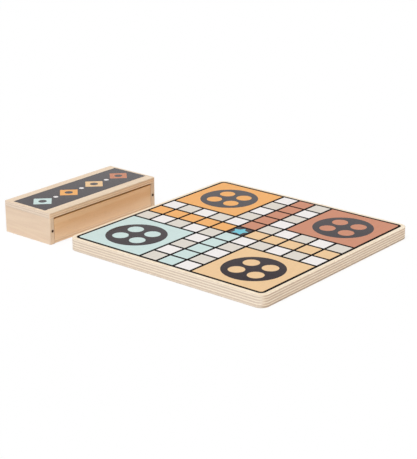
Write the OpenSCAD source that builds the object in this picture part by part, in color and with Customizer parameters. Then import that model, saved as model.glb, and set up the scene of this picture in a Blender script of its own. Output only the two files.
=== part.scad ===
// Ludo set: a printed plywood board, and a box with a sliding tray for its pawns and die.
// X and Y run along the sides of the board and Z points up.
// The origin is the centre of the board's underside, on the table.
// The box stands beyond the board's +Y side, with its length along X.

/* [Board] */
// Length of a side of the square board
board_side = 280; // [240:5:400]
// Thickness of the board's two face veneers
face_ply_t = 0.75; // [0.4:0.05:1.5]
// Thickness of each of the nine plies between them
inner_ply_t = 1.5; // [1:0.1:2.5]
// Radius of the board's corners, seen from above
board_corner_r = 10.5; // [4:0.5:25]
// Rounding of the board's top and bottom edges
board_edge_r = 1; // [0.5:0.25:4]

/* [Board print] */
// Bare wood left round the print
print_margin = 4.8; // [3:0.1:20]
// Radius of the print's outer corners
print_corner_r = 6.5; // [4.5:0.5:10]
// Width of the dark lines
line_w = 3.4; // [0.5:0.1:4]
// Thickness of a layer of ink
ink_t = 0.1; // [0.05:0.05:0.4]
// Coloured ground left round a yard's disc
yard_margin = 11; // [5:1:25]
// Diameter of a pawn's spot in a yard
spot_d = 19; // [12:0.5:24]
// Distance between neighbouring spots
spot_gap = 7; // [3:0.5:12]
// Dark ground left between the star's points and the sides of its square
star_margin = 0.4; // [0.2:0.1:4]
// Depth of the notches between the star's points
star_notch = 4.4; // [2:0.2:6]

/* [Box cover] */
// Length of the box, along X
box_l = 181; // [150:1:260]
// Depth of the box, along Y
box_w = 76; // [60:1:140]
// Clear distance between the board and the box
box_gap = 26; // [10:0.5:80]
// How far the box's near end stands out past the board's side
box_past_board = 3.5; // [0:0.5:20]
// Thickness of one of the top plate's five plies
top_ply_t = 1.35; // [1.2:0.05:3]
// Radius of the box's corners, seen from above
box_corner_r = 1.5; // [1.2:0.1:4]
// Rounding of the top plate's upper edge
top_edge_r = 1; // [0.2:0.1:1.1]
// Thickness of the end walls
end_t = 6.5; // [5:0.5:12]
// Diameter of the steel pin in the front edge of each end wall
pin_d = 3.2; // [1.5:0.1:3.6]
// Length of a pin
pin_l = 8; // [4:0.5:9]
// Distance from an end wall's inner face to the middle of its pin
pin_inset = 2.6; // [2:0.1:3.5]

/* [Box print] */
// Bare wood left beyond the ends of the printed panel
panel_end_margin = 4; // [2:0.5:20]
// Bare wood left along the sides of the printed panel
panel_side_margin = 11.5; // [4:0.5:25]
// Side of a coloured diamond
diamond_side = 21; // [10:0.5:24]
// Diameter of the dark eye in a diamond
diamond_eye_d = 10; // [3:0.5:10]
// Diameter of the white dots between the diamonds
dot_d = 6; // [2:0.5:10]

/* [Tray] */
// Thickness of the tray's plywood bottom
tray_bottom_t = 4.5; // [3:0.5:9]
// Thickness of the tray's walls
tray_wall_t = 5; // [3:0.5:9]
// Gap between the tray's bottom and the table
tray_lift = 0.4; // [0.3:0.1:1]
// Gap between the tray's walls and the top plate
tray_top_gap = 2.2; // [0.5:0.1:2.5]
// Gap between the tray and each end wall
tray_side_gap = 0.6; // [0.4:0.1:1.5]
// How far the tray's long walls stand back from the edges of the cover
tray_inset = 0.5; // [0:0.1:2]
// Height of the runner grooves in the end walls
groove_h = 3; // [1.6:0.1:4]
// Depth of the runner grooves
groove_depth = 2.4; // [2.2:0.1:4]
// Distance from the cover's front edge to the closed ends of the grooves
groove_stop = 12; // [10:0.5:20]
// How far the runners reach into their grooves
runner_reach = 1.6; // [0.8:0.1:2]
// Clearance over and under a runner in its groove
runner_clear = 0.3; // [0.2:0.05:0.5]
// Gap between the runners and the closed ends of their grooves when the tray is shut
stop_gap = 0.5; // [0.4:0.1:1]

/* [Pawns and die] */
// Height of a pawn
pawn_h = 23; // [19:0.5:40]
// Diameter of a pawn's foot
pawn_foot_d = 13.5; // [10:0.5:18]
// Height of a pawn's foot
pawn_foot_h = 2.6; // [1:0.2:5]
// Rounding of the foot's upper edge
pawn_foot_r = 1; // [0.2:0.1:1]
// Diameter of the shaft where it leaves the foot
pawn_shaft_d = 11; // [8:0.5:13]
// Diameter of the shaft at the neck
pawn_neck_d = 5.4; // [3:0.2:7]
// Diameter of the collar under the head
pawn_collar_d = 8.4; // [6:0.2:11]
// Thickness of the collar
pawn_collar_t = 1.2; // [0.6:0.1:2]
// Diameter of the head
pawn_head_d = 9; // [7:0.5:12]
// Distance between the feet of neighbouring pawns
pawn_gap = 1.8; // [0.6:0.1:4]
// Room left above the pawns under the top plate
head_room = 4.25; // [2.75:0.25:10]
// Side of the die
die_side = 12; // [8:0.5:18]
// How much is rounded off the die's corners
die_corner_cut = 1.6; // [0.2:0.1:2]
// Diameter of a pip
pip_d = 2.2; // [1:0.1:2.6]
// Depth of the paint in a pip
pip_depth = 0.4; // [0.2:0.1:1]
// Distance from the pawns to the die
die_gap = 8; // [2:0.5:20]

/* [Hidden] */
$fn = 64;
// Cutters reach this far past the faces they cut
over = 1;

// Board heights and print grid
board_plies = 11;
board_t = 2 * face_ply_t + (board_plies - 2) * inner_ply_t;
cells = 11;
arm_l = (cells - 1) / 2;
arm_half = 1;
print_side = board_side - 2 * print_margin;
pitch = (print_side - line_w) / cells;
cell_side = pitch - line_w;
inside_border = print_side - 2 * line_w;
inside_border_r = print_corner_r - line_w;
field_cells = arm_l - arm_half;
field_side = field_cells * pitch - line_w;
field_at = (arm_l + arm_half + 1) / 2 * pitch;
yard_d = field_side - 2 * yard_margin;
spot_at = (spot_d + spot_gap) / 2;
star_points = 5;
star_r = (cell_side / 2 - star_margin) / sin(360 / star_points);
// The star has one point along +X, so it is set back to lie in the middle of its square
star_back = star_r * (1 - cos(180 / star_points)) / 2;

// Box heights, from the table up
top_plies = 5;
top_t = top_plies * top_ply_t;
tray_floor_z = tray_lift + tray_bottom_t;
end_h = tray_floor_z + pawn_h + head_room;
tray_wall_h = pawn_h + head_room - tray_top_gap;
box_h = end_h + top_t;

// Box places in plan
box_x = -board_side / 2 - box_past_board;
box_y = board_side / 2 + box_gap;
box_mid_x = box_x + box_l / 2;
box_mid_y = box_y + box_w / 2;
tray_l = box_l - 2 * end_t - 2 * tray_side_gap;
tray_w = box_w - 2 * tray_inset;
tray_x = box_x + end_t + tray_side_gap;
tray_y = box_y + tray_inset;
tray_inner_w = tray_w - 2 * tray_wall_t;

// Runners sit in the middle of the end walls' height
groove_z = (end_h - groove_h) / 2;
runner_h = groove_h - 2 * runner_clear;
runner_t = tray_side_gap + runner_reach;
runner_l = box_w - 2 * (groove_stop + stop_gap);

// Printed panel on the box
panel_l = box_l - 2 * panel_end_margin;
panel_w = box_w - 2 * panel_side_margin;
panel_x = box_x + panel_end_margin;
colours = 4;
diamond_pitch = panel_l / colours;

// Pawns stand in rows across the tray
pawns_a_colour = 4;
pawn_count = colours * pawns_a_colour;
pawn_pitch = pawn_foot_d + pawn_gap;
pawn_rows = floor((tray_inner_w - pawn_gap) / pawn_pitch);
pawn_columns = ceil(pawn_count / pawn_rows);
pawn_x = tray_x + tray_wall_t + pawn_gap + pawn_foot_d / 2;
pawn_head_z = pawn_h - pawn_head_d / 2;
pawn_neck_z = pawn_h - pawn_head_d;
pawn_collar_rim_r = (pawn_collar_d - pawn_collar_t) / 2;
pawn_flare = (pawn_shaft_d - pawn_neck_d) / 2;
pawn_flare_h = pawn_neck_z - pawn_foot_h;
pawn_sweep_r = (pawn_flare_h * pawn_flare_h + pawn_flare * pawn_flare) / (2 * pawn_flare);
die_x = tray_x + tray_wall_t + pawn_columns * pawn_pitch + die_gap + die_side / 2;
die_z = tray_floor_z + die_side / 2;
die_ball_d = sqrt(3) * die_side - 2 * die_corner_cut;
pip_pitch = die_side / 4;

// Colours, and the corner field and the arm that each of the four plays from
ply_colour = "#eed9b8";
cross_colour = "#d9bd94";
wood_colour = "#e6caa2";
tray_colour = "#d2a878";
line_colour = "#32282a";
charcoal = "#484246";
white_ink = "#f5f3f1";
steel = "#3a3634";
grey_ink = "#ded8d2";
star_blue = "#5ac8e6";
NAMES = ["mint", "orange", "yellow", "terracotta"];
INKS = ["#c8e4de", "#fcaf64", "#f0ca91", "#d08a68"];
CORNERS = [[-1, 1], [1, 1], [-1, -1], [1, -1]];
ARMS = [[-1, 0], [0, 1], [0, -1], [1, 0]];

function board_ply_name(k) = str("board_ply_", k);
function top_ply_name(k) = str("box_top_ply_", k);
function pawn_name(i) = str("pawn_", NAMES[floor(i / pawns_a_colour)], "_", i % pawns_a_colour + 1);

// Plates

// Outline of a rectangle about the origin with round corners
module round_rectangle(x, y, r) {
    square([x - 2 * r, y], center = true);
    square([x, y - 2 * r], center = true);
    for (i = [-1, 1], j = [-1, 1])
        translate([i * (x / 2 - r), j * (y / 2 - r)]) circle(r);
}

module plate(x, y, t, r) {
    linear_extrude(t) round_rectangle(x, y, r);
}

// Rectangle from the origin to r and t, with its outer upper corner rounded
module rim_section(r, t, edge_r) {
    square([r, t - edge_r]);
    square([r - edge_r, t]);
    translate([r - edge_r, t - edge_r]) intersection() {
        circle(edge_r);
        square(edge_r);
    }
}

// Plate about the origin with round corners and a rounded upper edge
module soft_plate(x, y, t, r, edge_r) {
    straight_x = x - 2 * r;
    straight_y = y - 2 * r;
    translate([-straight_x / 2, -straight_y / 2, 0]) cube([straight_x, straight_y, t]);
    for (turn = [0, 180]) rotate(turn) {
        translate([straight_x / 2, straight_y / 2, 0])
            rotate([90, 0, 0]) linear_extrude(straight_y) rim_section(r, t, edge_r);
        translate([-straight_x / 2, straight_y / 2, 0])
            rotate([90, 0, 90]) linear_extrude(straight_x) rim_section(r, t, edge_r);
        translate([straight_x / 2, straight_y / 2, 0])
            rotate_extrude(angle = 90) rim_section(r, t, edge_r);
        translate([-straight_x / 2, straight_y / 2, 0])
            rotate(90) rotate_extrude(angle = 90) rim_section(r, t, edge_r);
    }
}

// Board: plies are counted from the underside up

function ply_z(k) = k == 1 ? 0 : face_ply_t + (k - 2) * inner_ply_t;
function ply_t(k) = k == 1 || k == board_plies ? face_ply_t : inner_ply_t;
function is_crossband(k) = k % 2 == 0;

module half_board() {
    soft_plate(board_side, board_side, board_t / 2, board_corner_r, board_edge_r);
}

module board_ply(k) {
    color(is_crossband(k) ? cross_colour : ply_colour) intersection() {
        union() {
            translate([0, 0, board_t / 2]) half_board();
            translate([0, 0, board_t / 2]) mirror([0, 0, 1]) half_board();
        }
        translate([-board_side, -board_side, ply_z(k)]) cube([2 * board_side, 2 * board_side, ply_t(k)]);
    }
}

// Board print: squares are counted from the middle one, from -arm_l to arm_l

function in_arms(i, j) = min(abs(i), abs(j)) <= arm_half;
function on_track(i, j) = min(abs(i), abs(j)) == arm_half;
function is_grey(i, j) = ((abs(i) + abs(j)) % 2 == 0) == (i * j < 0);

module ink(at_z) {
    translate([0, 0, at_z]) linear_extrude(ink_t) children();
}

module cell(i, j) {
    translate([i * pitch, j * pitch]) square(cell_side, center = true);
}

module at_corner(corner) {
    translate([corner[0] * field_at, corner[1] * field_at]) children();
}

// Corner field, whose outermost corner is rounded as the border is
module field(corner) {
    intersection() {
        at_corner(corner) square(field_side, center = true);
        round_rectangle(inside_border, inside_border, inside_border_r);
    }
}

module spots() {
    for (i = [-1, 1], j = [-1, 1])
        translate([i * spot_at, j * spot_at]) circle(d = spot_d);
}

module star() {
    translate([-star_back, 0]) polygon([for (k = [0:2 * star_points - 1])
        (star_r - k % 2 * star_notch) * [cos(k * 180 / star_points), sin(k * 180 / star_points)]]);
}

module print_lines() {
    color(line_colour) ink(board_t) difference() {
        round_rectangle(print_side, print_side, print_corner_r);
        for (i = [-arm_l:arm_l], j = [-arm_l:arm_l])
            if (in_arms(i, j)) cell(i, j);
        for (corner = CORNERS) field(corner);
    }
}

module print_charcoal() {
    color(charcoal) ink(board_t) {
        difference() {
            cell(0, 0);
            star();
        }
        for (corner = CORNERS) at_corner(corner) difference() {
            circle(d = yard_d);
            spots();
        }
    }
}

module print_squares(grey) {
    ink(board_t)
        for (i = [-arm_l:arm_l], j = [-arm_l:arm_l])
            if (on_track(i, j) && is_grey(i, j) == grey) cell(i, j);
}

module print_white() {
    color(white_ink) print_squares(false);
}

module print_grey() {
    color(grey_ink) print_squares(true);
}

module print_star() {
    color(star_blue) ink(board_t) star();
}

// Corner field, spots and home row of one colour
module print_colour(k) {
    color(INKS[k]) ink(board_t) {
        difference() {
            field(CORNERS[k]);
            at_corner(CORNERS[k]) circle(d = yard_d);
        }
        at_corner(CORNERS[k]) spots();
        for (i = [1:arm_l]) cell(i * ARMS[k][0], i * ARMS[k][1]);
    }
}

// Box cover

module box_top_ply(k) {
    color(is_crossband(k) ? cross_colour : ply_colour)
        translate([box_mid_x, box_mid_y, end_h + (k - 1) * top_ply_t])
            if (k == top_plies) soft_plate(box_l, box_w, top_ply_t, box_corner_r, top_edge_r);
            else plate(box_l, box_w, top_ply_t, box_corner_r);
}

// End wall at the box's near end, with a hole for its pin, and a groove that is open at the back
module end_wall() {
    difference() {
        intersection() {
            translate([box_mid_x, box_mid_y, 0]) plate(box_l, box_w, end_h, box_corner_r);
            translate([box_x, box_y, 0]) cube([end_t, box_w, end_h]);
        }
        translate([box_x + end_t - groove_depth, box_y + groove_stop, groove_z])
            cube([groove_depth + over, box_w, groove_h]);
        wall_pin(over);
    }
}

// Pin in the near end wall, standing out of its front edge by past
module wall_pin(past) {
    translate([box_x + end_t - pin_inset, box_y - past, end_h / 2])
        rotate([-90, 0, 0]) cylinder(d = pin_d, h = pin_l + past);
}

module at_far_end() {
    translate([2 * box_mid_x, 0, 0]) mirror([1, 0, 0]) children();
}

module box_end_near() {
    color(wood_colour) end_wall();
}

module box_end_far() {
    color(wood_colour) at_far_end() end_wall();
}

module pin_near() {
    color(steel) wall_pin(0);
}

module pin_far() {
    color(steel) at_far_end() wall_pin(0);
}

// Box print: a row of diamonds with dots between them

module at_diamond(k) {
    translate([panel_x + (k + 1 / 2) * diamond_pitch, box_mid_y]) children();
}

module diamond() {
    difference() {
        rotate(45) square(diamond_side, center = true);
        circle(d = diamond_eye_d);
    }
}

module dots() {
    for (k = [1:colours - 1])
        translate([panel_x + k * diamond_pitch, box_mid_y]) circle(d = dot_d);
}

module box_print_charcoal() {
    color(charcoal) ink(box_h) difference() {
        translate([panel_x, box_mid_y - panel_w / 2]) square([panel_l, panel_w]);
        for (k = [0:colours - 1]) at_diamond(k) diamond();
        dots();
    }
}

module box_print_white() {
    color(white_ink) ink(box_h) dots();
}

module box_print_colour(k) {
    color(INKS[k]) ink(box_h) at_diamond(k) diamond();
}

// Tray

module tray_bottom() {
    color(ply_colour) translate([tray_x, tray_y, tray_lift]) cube([tray_l, tray_w, tray_bottom_t]);
}

module tray_long_wall(y) {
    color(tray_colour) translate([tray_x, y, tray_floor_z]) cube([tray_l, tray_wall_t, tray_wall_h]);
}

module tray_front() {
    tray_long_wall(tray_y);
}

module tray_back() {
    tray_long_wall(tray_y + tray_w - tray_wall_t);
}

module tray_end(x) {
    color(tray_colour) translate([x, tray_y + tray_wall_t, tray_floor_z])
        cube([tray_wall_t, tray_inner_w, tray_wall_h]);
}

module tray_end_near() {
    tray_end(tray_x);
}

module tray_end_far() {
    tray_end(tray_x + tray_l - tray_wall_t);
}

module runner(x) {
    color(wood_colour) translate([x, box_mid_y - runner_l / 2, groove_z + runner_clear])
        cube([runner_t, runner_l, runner_h]);
}

module runner_near() {
    runner(tray_x - runner_t);
}

module runner_far() {
    runner(tray_x + tray_l);
}

// Pawns and die

// Half of a section through a pawn: a foot, a shaft that sweeps in to the neck, a round collar and a head
module pawn_section() {
    rim_section(pawn_foot_d / 2, pawn_foot_h, pawn_foot_r);
    square([pawn_neck_d / 2, pawn_head_z]);
    translate([0, pawn_foot_h]) difference() {
        square([pawn_shaft_d / 2, pawn_flare_h]);
        translate([pawn_neck_d / 2 + pawn_sweep_r, pawn_flare_h]) circle(pawn_sweep_r, $fn = 256);
    }
    translate([0, pawn_neck_z - pawn_collar_t / 2]) square([pawn_collar_rim_r, pawn_collar_t]);
    translate([pawn_collar_rim_r, pawn_neck_z]) circle(d = pawn_collar_t);
    translate([0, pawn_head_z]) intersection() {
        circle(d = pawn_head_d);
        translate([0, -pawn_head_d / 2]) square(pawn_head_d);
    }
}

module pawn(i) {
    row = i % pawn_rows - (pawn_rows - 1) / 2;
    column = floor(i / pawn_rows);
    color(INKS[floor(i / pawns_a_colour)])
        translate([pawn_x + column * pawn_pitch, box_mid_y + row * pawn_pitch, tray_floor_z])
            rotate_extrude() pawn_section();
}

// Places of n pips on a face, in steps of pip_pitch
function pips(n) = concat(
    n % 2 == 1 ? [[0, 0]] : [],
    n > 1 ? [[-1, -1], [1, 1]] : [],
    n > 3 ? [[-1, 1], [1, -1]] : [],
    n > 5 ? [[-1, 0], [1, 0]] : []
);

// Turns that bring the faces with one to six pips to the top, so that opposite faces add up to seven
FACE_TURNS = [[0, 0, 0], [90, 0, 0], [0, 90, 0], [0, -90, 0], [-90, 0, 0], [180, 0, 0]];

module at_die() {
    translate([die_x, box_mid_y, die_z]) children();
}

// Paint in all the pips, standing past the faces by past
module pip_paint(past) {
    for (n = [1:6], at = pips(n))
        rotate(FACE_TURNS[n - 1])
            translate([at[0] * pip_pitch, at[1] * pip_pitch, die_side / 2 - pip_depth])
                cylinder(d = pip_d, h = pip_depth + past);
}

module die() {
    color(ply_colour) at_die() difference() {
        intersection() {
            cube(die_side, center = true);
            sphere(d = die_ball_d);
        }
        pip_paint(over);
    }
}

module die_pips() {
    color(charcoal) at_die() pip_paint(0);
}

for (k = [1:board_plies])
    board_ply(k);
print_lines();
print_charcoal();
print_white();
print_grey();
print_star();
for (k = [0:colours - 1])
    print_colour(k);
for (k = [1:top_plies])
    box_top_ply(k);
box_end_near();
box_end_far();
pin_near();
pin_far();
box_print_charcoal();
box_print_white();
for (k = [0:colours - 1])
    box_print_colour(k);
tray_bottom();
tray_front();
tray_back();
tray_end_near();
tray_end_far();
runner_near();
runner_far();
for (i = [0:pawn_count - 1])
    pawn(i);
die();
die_pips();
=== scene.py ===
"""Looks of the ludo set: finishes of the board, its print, the box, the tray, the pawns and the die."""

import math

import bpy
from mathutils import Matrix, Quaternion, Vector

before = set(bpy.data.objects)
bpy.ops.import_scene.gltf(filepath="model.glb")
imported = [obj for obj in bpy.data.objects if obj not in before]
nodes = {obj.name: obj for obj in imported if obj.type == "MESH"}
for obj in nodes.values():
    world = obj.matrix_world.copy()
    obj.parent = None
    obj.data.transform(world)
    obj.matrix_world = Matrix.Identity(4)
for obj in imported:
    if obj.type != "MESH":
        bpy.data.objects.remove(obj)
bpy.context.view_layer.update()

# One millimetre in metres, the unit of the scene
MM = 0.001

# Camera: where it looks, from which side in degrees, how far away, and its lens and sensor in millimetres
AIM = Vector((-0.0191, 0.0322, 0.0151))
VIEW_AZIMUTH = -50.33
VIEW_ELEVATION = 19.66
VIEW_ROLL = -0.16
VIEW_DISTANCE = 1.553
LENS = 105.0
SENSOR = 36.0

# Light: an even white room, and one broad lamp high up on the -X side, with its width in degrees
ROOM_STRENGTH = 0.4
LAMP_FROM = Vector((-0.31, -0.117, 0.944))
LAMP_STRENGTH = 2.1
LAMP_ANGLE = 50.0
# What gloss mirrors: a white backdrop, which fades into a dark ceiling between these sines of the height
BACKDROP_FADE = (0.29, 0.40)
CEILING = 0.08
WHITE = (1.0, 1.0, 1.0, 1.0)
FLOOR_SIDE = 12.0
FLOOR_WHITE = (0.97, 0.97, 0.97, 1.0)
# Share of the floor that reads as plain white to the camera, so that the shadows stay faint
FLOOR_GLOW = 0.8

# Woods: grain axis, then the pale and the deep tone of the face grain and the tone of the end grain.
# Colours are as they look in daylight, in sRGB from 0 to 255.
WOODS = {
    "birch_long": ("X", (251, 236, 213), (241, 221, 194), (226, 206, 187)),
    "birch_crossband": ("Y", (253, 240, 220), (247, 231, 208), (218, 190, 166)),
    # Painted shade: the board's lowest crossband, darker and greyer than the other crossbands, for the
    # shade near the floor
    "birch_low": ("Y", (240, 226, 208), (230, 214, 194), (188, 164, 142)),
    "box_face": ("X", (240, 218, 192), (231, 206, 179), (230, 209, 188)),
    "box_long": ("X", (254, 226, 192), (250, 214, 178), (230, 209, 188)),
    "box_crossband": ("Y", (246, 228, 210), (240, 217, 192), (238, 198, 158)),
    "box_wood": ("Y", (241, 217, 191), (233, 206, 180), (232, 203, 172)),
    "tray_wood": ("X", (248, 205, 158), (239, 189, 138), (190, 140, 96)),
    "tray_ply": ("X", (249, 220, 188), (242, 208, 172), (236, 206, 174)),
    "die_wood": ("Z", (250, 234, 208), (240, 218, 188), (234, 208, 174)),
}
# Woods of single plies, which show their glue
PLIES = ("birch_long", "birch_crossband", "birch_low", "box_face", "box_long", "box_crossband")
GLUE = (150, 112, 80)
# Wood of the three-ply sheet, whose core shows at its sides
SHEET = "tray_ply"
SHEET_CORE = (222, 186, 148)
# Wood of the tray's walls: paler towards the lower edge, which is painted bounce light from the floor, and
# darker where it is sawn
WALL_WOOD = "tray_wood"
PAINTED_BOUNCE_TONE = (250, 220, 186)
SAWN_EDGE = (226, 176, 114)
STEEL = (70, 43, 28)
STEEL_WORN = (150, 146, 142)
INKS = {
    "mint": (207, 227, 224),
    "orange": (244, 180, 112),
    "yellow": (239, 202, 156),
    "terracotta": (208, 145, 118),
    "lines": (26, 20, 20),
    "charcoal": (46, 34, 40),
    "white": (243, 238, 236),
    "grey": (224, 217, 207),
    "star": (122, 202, 219),
}
# What shows in an ink's pinholes: the pale tone of the board's face
UNDER_INK = WOODS["birch_long"][1]
PAWN_COLOURS = ("mint", "orange", "yellow", "terracotta")

# Nodes whose finish isn't that of their slot: the box's face, and the board's lowest crossband, darker and
# greyer as painted shade near the floor
OWN_FINISH = {
    "box_top_ply_5": "box_face",
    "board_ply_2": "birch_low",
}
# Plies of the box's top, which have the box's own woods in place of the birch of their slots
BOX_TOP = "box_top_ply_"

# Sheens: specular level, roughness of the smoothest and the roughest spots, and relief in millimetres
SHEENS = {
    "wood": (0.25, 0.42, 0.58, 0.05),
    "ink": (0.15, 0.5, 0.66, 0.03),
    "ink_lines": (0.02, 0.5, 0.66, 0.03),
    "ink_charcoal": (0.25, 0.1, 0.18, 0.01),
    "paint": (0.4, 0.3, 0.45, 0.05),
    "steel": (0.1, 0.45, 0.65, 0.02),
}

# Noises: cycles per millimetre along the grain and across it, and octaves of detail
NOISES = {
    "figure": (0.004, 0.05, 2.0),
    "fibres": (0.06, 2.2, 3.0),
    "flecks": (0.2, 2.0, 1.0),
    "pores": (2.0, 2.0, 2.0),
    "wear": (0.05, 0.05, 2.0),
    "ink_fibres": (0.05, 1.4, 2.0),
    "ink_mottle": (0.5, 0.5, 4.0),
    "pinholes": (1.1, 1.1, 0.0),
    "turning_rings": (0.02, 2.4, 1.0),
    "paint_mottle": (0.4, 0.4, 3.0),
    "steel_mottle": (1.2, 1.2, 4.0),
    "steel_wear": (3.0, 3.0, 1.0),
}
# Bands in which a noise turns into spots
SPOTS = {
    "flecks": (0.64, 0.74),
    "pores": (0.5, 0.7),
    "wear": (0.35, 0.7),
    "pinholes": (0.8, 0.86),
    "steel_wear": (0.66, 0.74),
}
# Band in which most of a noise lies, and that of the two noises of a coat together
NOISE_BAND = (0.3, 0.7)
COAT_BAND = (0.7, 1.3)
# Growth figure: how much it wavers, how many rings it is folded into, and the band from pale to deep
FIGURE_WAVER = 0.8
FIGURE_RINGS = 9.0
FIGURE_BAND = (0.2, 0.95)
# The furthest that the grain of a piece is shifted along each axis, in millimetres
PIECE_SHIFT = (900, 700, 500)

# The band of a share from none to all, and the ends that bands are mapped onto
WHOLE = (0.0, 1.0)
RISING = (0.0, 1.0)
FALLING = (1.0, 0.0)
# Layers in a piece, as shares of its height: glue and core from the middle, and from below the painted
# bounce light on the tray's walls
GLUE_BAND = (0.43, 0.5)
CORE_BAND = (0.15, 0.19)
PAINTED_BOUNCE_BAND = (0.0, 0.7)
# Bands of how far a surface faces an axis: for end grain, upper and lower faces, flats, and the way down
END_FACING = (0.5, 0.9)
LEVEL_FACING = (0.75, 0.95)
FLAT_FACING = (0.75, 0.99)
DOWN_FACING = (-0.7, -0.1)

# Shares with which a colour covers the one under it
# Share of the painted bounce light that pales the tray's walls at their lower edge
PAINTED_BOUNCE_SHARE = 0.6
GLUE_SHARE = 0.5
CORE_SHARE = 0.8
SAWN_SHARE = 0.9
# Pale spots on the rounded edges: partly wear, partly a painted highlight
WORN_HIGHLIGHT_SHARE = 0.25
PINHOLE_SHARE = 0.12
STEEL_WORN_SHARE = 0.2
# Tones that a colour is multiplied by, from one end of a band to the other
FLECK_TONES = (1.0, 0.9)
END_TONES = (1.04, 0.84)
# Painted shade: how much darker the rounded edges that face down get
UNDERSIDE_SHADE_TONES = (1.0, 0.7)
COAT_TONES = (0.95, 1.03)
STEEL_TONES = (0.8, 1.15)

# Square edges that are broken with sandpaper, and by how much. The pin holes are 1 mm from the walls'
# edges, so bevels from both have room up to 0.5 mm
SANDED = ("box_end_", "tray_front", "tray_back", "tray_end_", "runner_")
SANDED_BY = 0.45 * MM
SANDED_STEPS = 2
# Edges from this angle up are sanded, and points that lie closer together than this are one
SANDED_FROM = math.radians(40)
SAME_POINT = 0.01 * MM


def linear(rgb):
    """The shader's colour for an sRGB one."""
    def one(value):
        share = value / 255
        return share / 12.92 if share <= 0.04045 else ((share + 0.055) / 1.055) ** 2.4
    return (*(one(value) for value in rgb), 1.0)


def feed(tree, socket, value):
    """Links a socket to another node's output, or sets it to a value."""
    if isinstance(value, bpy.types.NodeSocket):
        tree.links.new(value, socket)
    else:
        socket.default_value = value


def add_node(tree, kind, inputs, output=0, **settings):
    """Adds a shader node and returns one of its outputs."""
    node = tree.nodes.new("ShaderNode" + kind)
    for key, value in settings.items():
        setattr(node, key, value)
    for key, value in inputs.items():
        feed(tree, node.inputs[key], value)
    return node.outputs[output]


class Finish:
    """A procedural material, built from a few kinds of node. Its places are in millimetres."""

    def __init__(self, name, sheen):
        specular, self.smooth, self.rough, self.relief = sheen
        self.material = bpy.data.materials.new(name)
        self.material.use_nodes = True
        self.tree = self.material.node_tree
        self.shader = self.tree.nodes["Principled BSDF"]
        self.shader.inputs["Specular IOR Level"].default_value = specular
        self.coordinates = self.tree.nodes.new("ShaderNodeTexCoord")
        piece = self.node("ObjectInfo", {}, output="Random")
        offset = self.vector("MULTIPLY", piece, PIECE_SHIFT)
        millimetres = self.vector("MULTIPLY", self.coordinates.outputs["Object"], (1 / MM, 1 / MM, 1 / MM))
        self.place = self.vector("ADD", millimetres, offset)

    def node(self, kind, inputs, output=0, **settings):
        return add_node(self.tree, kind, inputs, output, **settings)

    def vector(self, operation, a, b):
        return self.node("VectorMath", {0: a, 1: b}, operation=operation)

    def math(self, operation, a, b=0.0):
        return self.node("Math", {0: a, 1: b}, operation=operation)

    def product(self, *factors):
        total = factors[0]
        for factor in factors[1:]:
            total = self.math("MULTIPLY", total, factor)
        return total

    def weighted(self, *terms):
        """Sum of values times their weights."""
        total = 0.0
        for value, weight in terms:
            total = self.node("Math", {0: value, 1: weight, 2: total}, operation="MULTIPLY_ADD")
        return total

    def between(self, value, band, ends=RISING):
        """Maps a band of values onto its ends, smoothly, and keeps to the ends beyond it."""
        limits = {"From Min": band[0], "From Max": band[1], "To Min": ends[0], "To Max": ends[1]}
        return self.node("MapRange", {"Value": value, **limits}, interpolation_type="SMOOTHSTEP")

    def mix(self, share, a, b, blend="MIX"):
        """Blends two colours. The node has its colours in sockets 6 and 7 and in output 2."""
        inputs = {"Factor": share, 6: a, 7: b}
        return self.node("Mix", inputs, output=2, data_type="RGBA", blend_type=blend)

    def shaded(self, colour, tone):
        """A colour times a tone."""
        grey = self.node("CombineColor", {0: tone, 1: tone, 2: tone})
        return self.mix(1.0, colour, grey, blend="MULTIPLY")

    def noise(self, name, grain="X", distortion=0.0):
        """One of the noises, with its features stretched on the grain's axis."""
        along, across, detail = NOISES[name]
        rates = [along if axis == grain else across for axis in "XYZ"]
        inputs = {"Vector": self.vector("MULTIPLY", self.place, rates), "Scale": 1.0}
        return self.node("TexNoise", {**inputs, "Detail": detail, "Distortion": distortion})

    def spots(self, name, grain="X"):
        """1 in the spots of a noise, 0 between them."""
        return self.between(self.noise(name, grain), SPOTS[name])

    def coat(self, rgb, under, mottle):
        """A coat of one colour, a little darker and paler with the wood under it and with its mottle."""
        cover = self.weighted((under, 1.0), (mottle, 1.0))
        return self.shaded(linear(rgb), self.between(cover, COAT_BAND, COAT_TONES))

    def part(self, vector, axis):
        """What a vector has along an axis."""
        return self.node("SeparateXYZ", {0: vector}, output="XYZ".index(axis))

    def facing(self, axis):
        """How far the surface faces along an axis, either way, from 0 to 1, in the object's frame."""
        return self.math("ABSOLUTE", self.part(self.coordinates.outputs["Normal"], axis))

    def edge(self):
        """1 on rounded edges, 0 on the flats between them."""
        flat = self.math("MAXIMUM", self.facing("X"), self.facing("Y"))
        flat = self.math("MAXIMUM", flat, self.facing("Z"))
        return self.between(flat, FLAT_FACING, FALLING)

    def finish(self, colour, mottle, height):
        """Feeds the shader: the colour, a roughness that follows the mottle, and a relief."""
        roughness = self.between(mottle, NOISE_BAND, (self.smooth, self.rough))
        bump = self.node("Bump", {"Strength": 1.0, "Distance": self.relief * MM, "Height": height})
        feed(self.tree, self.shader.inputs["Base Color"], colour)
        feed(self.tree, self.shader.inputs["Roughness"], roughness)
        feed(self.tree, self.shader.inputs["Normal"], bump)
        return self.material


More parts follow.
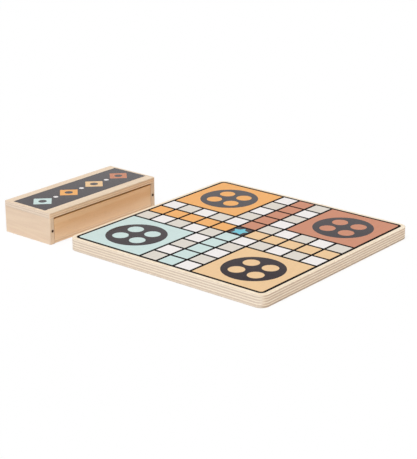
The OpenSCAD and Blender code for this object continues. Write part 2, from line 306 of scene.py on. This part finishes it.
def wood(name):
    """Lacquered wood: growth figure, fibres and flecks on the faces, pores on the end grain, worn edges
    that are also a painted highlight, and painted shade on the lower edges.
    """
    grain, pale, deep, end = WOODS[name]
    f = Finish(name, SHEENS["wood"])
    figure = f.noise("figure", grain, distortion=FIGURE_WAVER)
    rings = f.math("PINGPONG", f.math("MULTIPLY", figure, FIGURE_RINGS), 1.0)
    fibres = f.noise("fibres", grain)
    flecks = f.spots("flecks", grain)
    pores = f.spots("pores")
    height = f.part(f.coordinates.outputs["Generated"], "Z")

    tone = f.weighted((rings, 0.4), (fibres, 0.7))
    face = f.mix(f.between(tone, FIGURE_BAND), linear(pale), linear(deep))
    # Painted bounce light: the tray's walls pale towards their lower edge, as if lit from the floor
    if name == WALL_WOOD:
        face = f.mix(f.between(height, PAINTED_BOUNCE_BAND, (PAINTED_BOUNCE_SHARE, 0.0)), face, linear(PAINTED_BOUNCE_TONE))
    face = f.shaded(face, f.between(flecks, WHOLE, FLECK_TONES))
    open_grain = f.weighted((pores, 0.7), (rings, 0.3))
    cut = f.shaded(linear(end), f.between(open_grain, WHOLE, END_TONES))
    colour = f.mix(f.between(f.facing(grain), END_FACING), face, cut)
    colour = layered(f, name, colour, height)
    colour = worn_and_shaded(f, colour, pale)

    relief = f.weighted((fibres, 1.0), (flecks, -0.4), (pores, -0.2))
    return f.finish(colour, fibres, relief)


def layered(f, name, colour, height):
    """What shows of a wood's layers: the glue of a ply, the core of the sheet, the sawn edges of a wall."""
    from_middle = f.math("ABSOLUTE", f.math("SUBTRACT", height, 0.5))
    side = f.between(f.facing("Z"), LEVEL_FACING, FALLING)
    if name in PLIES:
        seam = f.between(from_middle, GLUE_BAND)
        return f.mix(f.product(seam, side, GLUE_SHARE), colour, linear(GLUE))
    if name == SHEET:
        core = f.between(from_middle, CORE_BAND, FALLING)
        return f.mix(f.product(core, side, CORE_SHARE), colour, linear(SHEET_CORE))
    if name == WALL_WOOD:
        level = f.between(f.facing("Z"), LEVEL_FACING)
        return f.mix(f.product(level, SAWN_SHARE), colour, linear(SAWN_EDGE))
    return colour


def worn_and_shaded(f, colour, pale):
    """Wood with edges that are worn pale in places, which also paints a highlight on them, and painted
    shade on the edges that face down.
    """
    # Rounded edges paled in spots: wear, and also a painted highlight on the edges
    colour = f.mix(f.product(f.edge(), f.spots("wear"), WORN_HIGHLIGHT_SHARE), colour, linear(pale))
    # Painted shade: rounded edges that face down are darkened, as the shade they get near the floor
    down = f.between(f.part(f.coordinates.outputs["Normal"], "Z"), DOWN_FACING, FALLING)
    return f.shaded(colour, f.between(f.product(f.edge(), down), WHOLE, UNDERSIDE_SHADE_TONES))


def ink(name, rgb):
    """Screen print: an even coat, thinner on the raised fibres, with a fine mottle and pinholes."""
    f = Finish("ink_" + name, SHEENS.get("ink_" + name, SHEENS["ink"]))
    fibres = f.noise("ink_fibres")
    mottle = f.noise("ink_mottle")
    pinholes = f.product(f.spots("pinholes"), PINHOLE_SHARE)
    colour = f.mix(pinholes, f.coat(rgb, fibres, mottle), linear(UNDER_INK))
    return f.finish(colour, mottle, fibres)


def paint(name, rgb):
    """Satin paint on turned wood, with faint turning rings and a fine mottle."""
    f = Finish("pawn_" + name, SHEENS["paint"])
    mottle = f.noise("paint_mottle")
    colour = f.coat(rgb, f.noise("turning_rings"), mottle)
    return f.finish(colour, mottle, mottle)


def steel(name):
    """Blackened steel, with a fine mottle and brighter wear."""
    f = Finish(name, SHEENS["steel"])
    mottle = f.noise("steel_mottle")
    colour = f.shaded(linear(STEEL), f.between(mottle, NOISE_BAND, STEEL_TONES))
    worn = f.product(f.spots("steel_wear"), STEEL_WORN_SHARE)
    return f.finish(f.mix(worn, colour, linear(STEEL_WORN)), mottle, mottle)


def make_finishes():
    """A material for each of the record's slots, for the plies of the box's top, and for single nodes."""
    made = {name: wood(name) for name in WOODS}
    made["pin_steel"] = steel("pin_steel")
    for name, rgb in INKS.items():
        made["ink_" + name] = ink(name, rgb)
    for name in PAWN_COLOURS:
        made["pawn_" + name] = paint(name, INKS[name])
    return made


def dress_nodes():
    """Gives each node the finish of the slot that it was packed with, and sands the square edges."""
    finishes = make_finishes()
    for name, node in nodes.items():
        for slot in node.material_slots:
            finish = slot.material.name.split(".")[0]
            if name.startswith(BOX_TOP):
                finish = finish.replace("birch_", "box_")
            slot.material = finishes[OWN_FINISH.get(name, finish)]
        if name.startswith(SANDED):
            sand_edges(node)


def sand_edges(node):
    """Rounds a node's square edges. Faces come in apart from each other, so they are joined first."""
    weld = node.modifiers.new("join_faces", "WELD")
    weld.merge_threshold = SAME_POINT
    bevel = node.modifiers.new("sanded", "BEVEL")
    bevel.width = SANDED_BY
    bevel.segments = SANDED_STEPS
    bevel.limit_method = "ANGLE"
    bevel.angle_limit = SANDED_FROM
    bevel.harden_normals = True
    # Even widths: not along the faces' diagonals, and not held down by the short edges of a round hole
    bevel.loop_slide = False
    bevel.use_clamp_overlap = False


def larger(tree, a, b):
    """The larger of two values."""
    return add_node(tree, "Math", {0: a, 1: b}, operation="MAXIMUM")


def camera_ray(tree):
    """1 for what the camera sees, straight or through gloss and glass."""
    rays = tree.nodes.new("ShaderNodeLightPath").outputs
    seen = larger(tree, rays["Is Camera Ray"], rays["Is Glossy Ray"])
    return larger(tree, seen, rays["Is Transmission Ray"])


def make_floor():
    """A plain white floor that keeps faint shadows."""
    half = FLOOR_SIDE / 2
    corners = [(-half, -half, 0), (half, -half, 0), (half, half, 0), (-half, half, 0)]
    mesh = bpy.data.meshes.new("floor")
    mesh.from_pydata(corners, [], [(0, 1, 2, 3)])
    floor = bpy.data.objects.new("floor", mesh)
    bpy.context.scene.collection.objects.link(floor)

    material = bpy.data.materials.new("floor_white")
    material.use_nodes = True
    tree = material.node_tree
    tree.nodes.clear()
    matt = add_node(tree, "BsdfDiffuse", {"Color": FLOOR_WHITE})
    glow = add_node(tree, "Emission", {})
    share = add_node(tree, "Math", {0: camera_ray(tree), 1: FLOOR_GLOW}, operation="MULTIPLY")
    surface = add_node(tree, "MixShader", {0: share, 1: matt, 2: glow})
    output = tree.nodes.new("ShaderNodeOutputMaterial")
    tree.links.new(surface, output.inputs["Surface"])
    mesh.materials.append(material)


def backdrop(tree):
    """How bright gloss mirrors the room, by the height of the ray."""
    ray = add_node(tree, "TexCoord", {}, output="Generated")
    height = add_node(tree, "SeparateXYZ", {0: ray}, output="Z")
    low, high = BACKDROP_FADE
    fade = {"Value": height, "From Min": low, "From Max": high, "To Min": 1.0, "To Max": CEILING}
    return add_node(tree, "MapRange", fade, interpolation_type="SMOOTHSTEP")


def make_room():
    """Even white light from all round. The camera sees it as white, and gloss mirrors the backdrop."""
    world = bpy.data.worlds.new("room")
    bpy.context.scene.world = world
    world.use_nodes = True
    tree = world.node_tree
    background = tree.nodes["Background"]
    background.inputs["Color"].default_value = WHITE
    straight = add_node(tree, "LightPath", {}, output="Is Camera Ray")
    seen = larger(tree, straight, backdrop(tree))
    strength = {"Value": camera_ray(tree), "To Min": ROOM_STRENGTH, "To Max": seen}
    tree.links.new(add_node(tree, "MapRange", strength), background.inputs["Strength"])


def make_lamp():
    """One broad lamp, far away."""
    lamp = bpy.data.lights.new("lamp", "SUN")
    lamp.energy = LAMP_STRENGTH
    lamp.angle = math.radians(LAMP_ANGLE)
    holder = bpy.data.objects.new("lamp", lamp)
    holder.rotation_euler = LAMP_FROM.to_track_quat("Z", "Y").to_euler()
    bpy.context.scene.collection.objects.link(holder)


def make_camera():
    """The camera, at the photograph's viewing angle."""
    azimuth = math.radians(VIEW_AZIMUTH)
    elevation = math.radians(VIEW_ELEVATION)
    back = Vector((
        math.sin(azimuth) * math.cos(elevation),
        -math.cos(azimuth) * math.cos(elevation),
        math.sin(elevation),
    ))
    camera = bpy.data.cameras.new("camera")
    camera.lens = LENS
    camera.sensor_width = SENSOR
    holder = bpy.data.objects.new("camera", camera)
    holder.location = AIM + VIEW_DISTANCE * back
    level = back.to_track_quat("Z", "Y")
    holder.rotation_euler = (level @ Quaternion((0, 0, 1), math.radians(VIEW_ROLL))).to_euler()
    bpy.context.scene.collection.objects.link(holder)
    bpy.context.scene.camera = holder


dress_nodes()
make_floor()
make_room()
make_lamp()
make_camera()
bpy.context.scene.view_settings.view_transform = "Standard"
